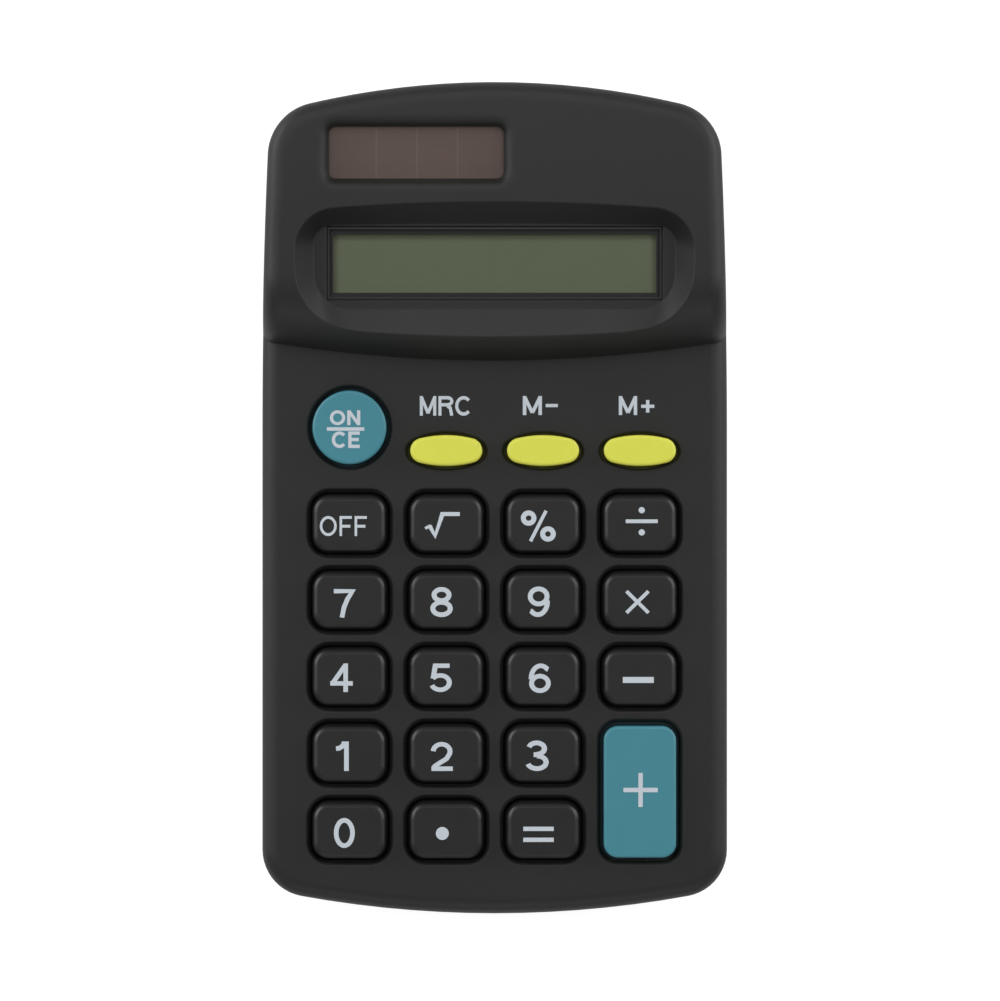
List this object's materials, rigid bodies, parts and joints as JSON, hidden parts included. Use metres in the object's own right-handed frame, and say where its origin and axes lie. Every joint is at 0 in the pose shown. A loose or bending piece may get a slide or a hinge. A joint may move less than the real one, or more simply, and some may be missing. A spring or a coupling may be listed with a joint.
{
  "type": "pocket calculator",
  "caption": "Handheld pocket calculator with a raised display hood, solar strip, sprung keys in four columns and a sliding battery door.",
  "frame": {"origin": "middle of the footprint, on the flat back that the calculator rests on", "axes": "+Z out of the keypad, +Y towards the display end, +X to the right of someone reading the keys"},
  "size_m": [0.0652, 0.116, 0.02],
  "materials": {
    "housing": "fine satin moulding",
    "door": "fine satin moulding",
    "window": "clear polished acrylic",
    "lcd": "grey-green display glass",
    "foil": "matt reflector",
    "white_plastic": "moulded",
    "ribbon": "printed foil",
    "solar": "coated glass",
    "board": "paper laminate",
    "silicone": "translucent grey",
    "carbon": "conductive",
    "epoxy": "potting drop",
    "component": "sleeved",
    "cell": "printed sleeve",
    "spring_steel": "plated",
    "red_wire": "insulation",
    "black_wire": "insulation",
    "screw": "plated",
    "key_black": "satin moulding",
    "key_teal": "satin moulding",
    "key_yellow": "satin moulding"
  },
  "bodies": {
    "case": {"front_case": "housing", "rear_case": "housing", "display_lens": "window", "lcd_glass": "lcd", "lcd_reflector": "foil", "lcd_holder": "white_plastic", "lcd_ribbon": "ribbon", "solar_panel": "solar", "circuit_board": "board", "rubber_dome_mat": "silicone", "carbon_pills": "carbon", "chip_cover": "epoxy", "capacitor": "component", "aa_cell": "cell", "battery_spring_contact": "spring_steel", "battery_plate_contact": "spring_steel", "battery_lead_red": "red_wire", "battery_lead_black": "black_wire", "solar_lead_red": "red_wire", "solar_lead_black": "black_wire", "case_screws": "screw", "board_screws": "screw"},
    "battery_door": {"battery_door": "door"},
    "key_on_ce": {"key_on_ce": "key_teal"},
    "key_mrc": {"key_mrc": "key_yellow"},
    "key_m_minus": {"key_m_minus": "key_yellow"},
    "key_m_plus": {"key_m_plus": "key_yellow"},
    "key_off": {"key_off": "key_black"},
    "key_root": {"key_root": "key_black"},
    "key_percent": {"key_percent": "key_black"},
    "key_divide": {"key_divide": "key_black"},
    "key_7": {"key_7": "key_black"},
    "key_8": {"key_8": "key_black"},
    "key_9": {"key_9": "key_black"},
    "key_multiply": {"key_multiply": "key_black"},
    "key_4": {"key_4": "key_black"},
    "key_5": {"key_5": "key_black"},
    "key_6": {"key_6": "key_black"},
    "key_minus": {"key_minus": "key_black"},
    "key_1": {"key_1": "key_black"},
    "key_2": {"key_2": "key_black"},
    "key_3": {"key_3": "key_black"},
    "key_0": {"key_0": "key_black"},
    "key_point": {"key_point": "key_black"},
    "key_equals": {"key_equals": "key_black"},
    "key_plus": {"key_plus": "key_teal"}
  },
  "joints": [
    {"name": "battery_door_slide", "type": "slide", "parent": "case", "child": "battery_door", "axis": [0, 1, 0], "range_m": [0, 0.023]},
    {"name": "key_on_ce_press", "type": "slide", "parent": "case", "child": "key_on_ce", "axis": [0, 0, -1], "range_m": [0, 0.0009], "stiffness_N_per_m": 400, "deforming": ["rubber_dome_mat"]},
    {"name": "key_mrc_press", "type": "slide", "parent": "case", "child": "key_mrc", "axis": [0, 0, -1], "range_m": [0, 0.0009], "stiffness_N_per_m": 400, "deforming": ["rubber_dome_mat"]},
    {"name": "key_m_minus_press", "type": "slide", "parent": "case", "child": "key_m_minus", "axis": [0, 0, -1], "range_m": [0, 0.0009], "stiffness_N_per_m": 400, "deforming": ["rubber_dome_mat"]},
    {"name": "key_m_plus_press", "type": "slide", "parent": "case", "child": "key_m_plus", "axis": [0, 0, -1], "range_m": [0, 0.0009], "stiffness_N_per_m": 400, "deforming": ["rubber_dome_mat"]},
    {"name": "key_off_press", "type": "slide", "parent": "case", "child": "key_off", "axis": [0, 0, -1], "range_m": [0, 0.0009], "stiffness_N_per_m": 400, "deforming": ["rubber_dome_mat"]},
    {"name": "key_root_press", "type": "slide", "parent": "case", "child": "key_root", "axis": [0, 0, -1], "range_m": [0, 0.0009], "stiffness_N_per_m": 400, "deforming": ["rubber_dome_mat"]},
    {"name": "key_percent_press", "type": "slide", "parent": "case", "child": "key_percent", "axis": [0, 0, -1], "range_m": [0, 0.0009], "stiffness_N_per_m": 400, "deforming": ["rubber_dome_mat"]},
    {"name": "key_divide_press", "type": "slide", "parent": "case", "child": "key_divide", "axis": [0, 0, -1], "range_m": [0, 0.0009], "stiffness_N_per_m": 400, "deforming": ["rubber_dome_mat"]},
    {"name": "key_7_press", "type": "slide", "parent": "case", "child": "key_7", "axis": [0, 0, -1], "range_m": [0, 0.0009], "stiffness_N_per_m": 400, "deforming": ["rubber_dome_mat"]},
    {"name": "key_8_press", "type": "slide", "parent": "case", "child": "key_8", "axis": [0, 0, -1], "range_m": [0, 0.0009], "stiffness_N_per_m": 400, "deforming": ["rubber_dome_mat"]},
    {"name": "key_9_press", "type": "slide", "parent": "case", "child": "key_9", "axis": [0, 0, -1], "range_m": [0, 0.0009], "stiffness_N_per_m": 400, "deforming": ["rubber_dome_mat"]},
    {"name": "key_multiply_press", "type": "slide", "parent": "case", "child": "key_multiply", "axis": [0, 0, -1], "range_m": [0, 0.0009], "stiffness_N_per_m": 400, "deforming": ["rubber_dome_mat"]},
    {"name": "key_4_press", "type": "slide", "parent": "case", "child": "key_4", "axis": [0, 0, -1], "range_m": [0, 0.0009], "stiffness_N_per_m": 400, "deforming": ["rubber_dome_mat"]},
    {"name": "key_5_press", "type": "slide", "parent": "case", "child": "key_5", "axis": [0, 0, -1], "range_m": [0, 0.0009], "stiffness_N_per_m": 400, "deforming": ["rubber_dome_mat"]},
    {"name": "key_6_press", "type": "slide", "parent": "case", "child": "key_6", "axis": [0, 0, -1], "range_m": [0, 0.0009], "stiffness_N_per_m": 400, "deforming": ["rubber_dome_mat"]},
    {"name": "key_minus_press", "type": "slide", "parent": "case", "child": "key_minus", "axis": [0, 0, -1], "range_m": [0, 0.0009], "stiffness_N_per_m": 400, "deforming": ["rubber_dome_mat"]},
    {"name": "key_1_press", "type": "slide", "parent": "case", "child": "key_1", "axis": [0, 0, -1], "range_m": [0, 0.0009], "stiffness_N_per_m": 400, "deforming": ["rubber_dome_mat"]},
    {"name": "key_2_press", "type": "slide", "parent": "case", "child": "key_2", "axis": [0, 0, -1], "range_m": [0, 0.0009], "stiffness_N_per_m": 400, "deforming": ["rubber_dome_mat"]},
    {"name": "key_3_press", "type": "slide", "parent": "case", "child": "key_3", "axis": [0, 0, -1], "range_m": [0, 0.0009], "stiffness_N_per_m": 400, "deforming": ["rubber_dome_mat"]},
    {"name": "key_0_press", "type": "slide", "parent": "case", "child": "key_0", "axis": [0, 0, -1], "range_m": [0, 0.0009], "stiffness_N_per_m": 400, "deforming": ["rubber_dome_mat"]},
    {"name": "key_point_press", "type": "slide", "parent": "case", "child": "key_point", "axis": [0, 0, -1], "range_m": [0, 0.0009], "stiffness_N_per_m": 400, "deforming": ["rubber_dome_mat"]},
    {"name": "key_equals_press", "type": "slide", "parent": "case", "child": "key_equals", "axis": [0, 0, -1], "range_m": [0, 0.0009], "stiffness_N_per_m": 400, "deforming": ["rubber_dome_mat"]},
    {"name": "key_plus_press", "type": "slide", "parent": "case", "child": "key_plus", "axis": [0, 0, -1], "range_m": [0, 0.0009], "stiffness_N_per_m": 400, "deforming": ["rubber_dome_mat"]}
  ]
}
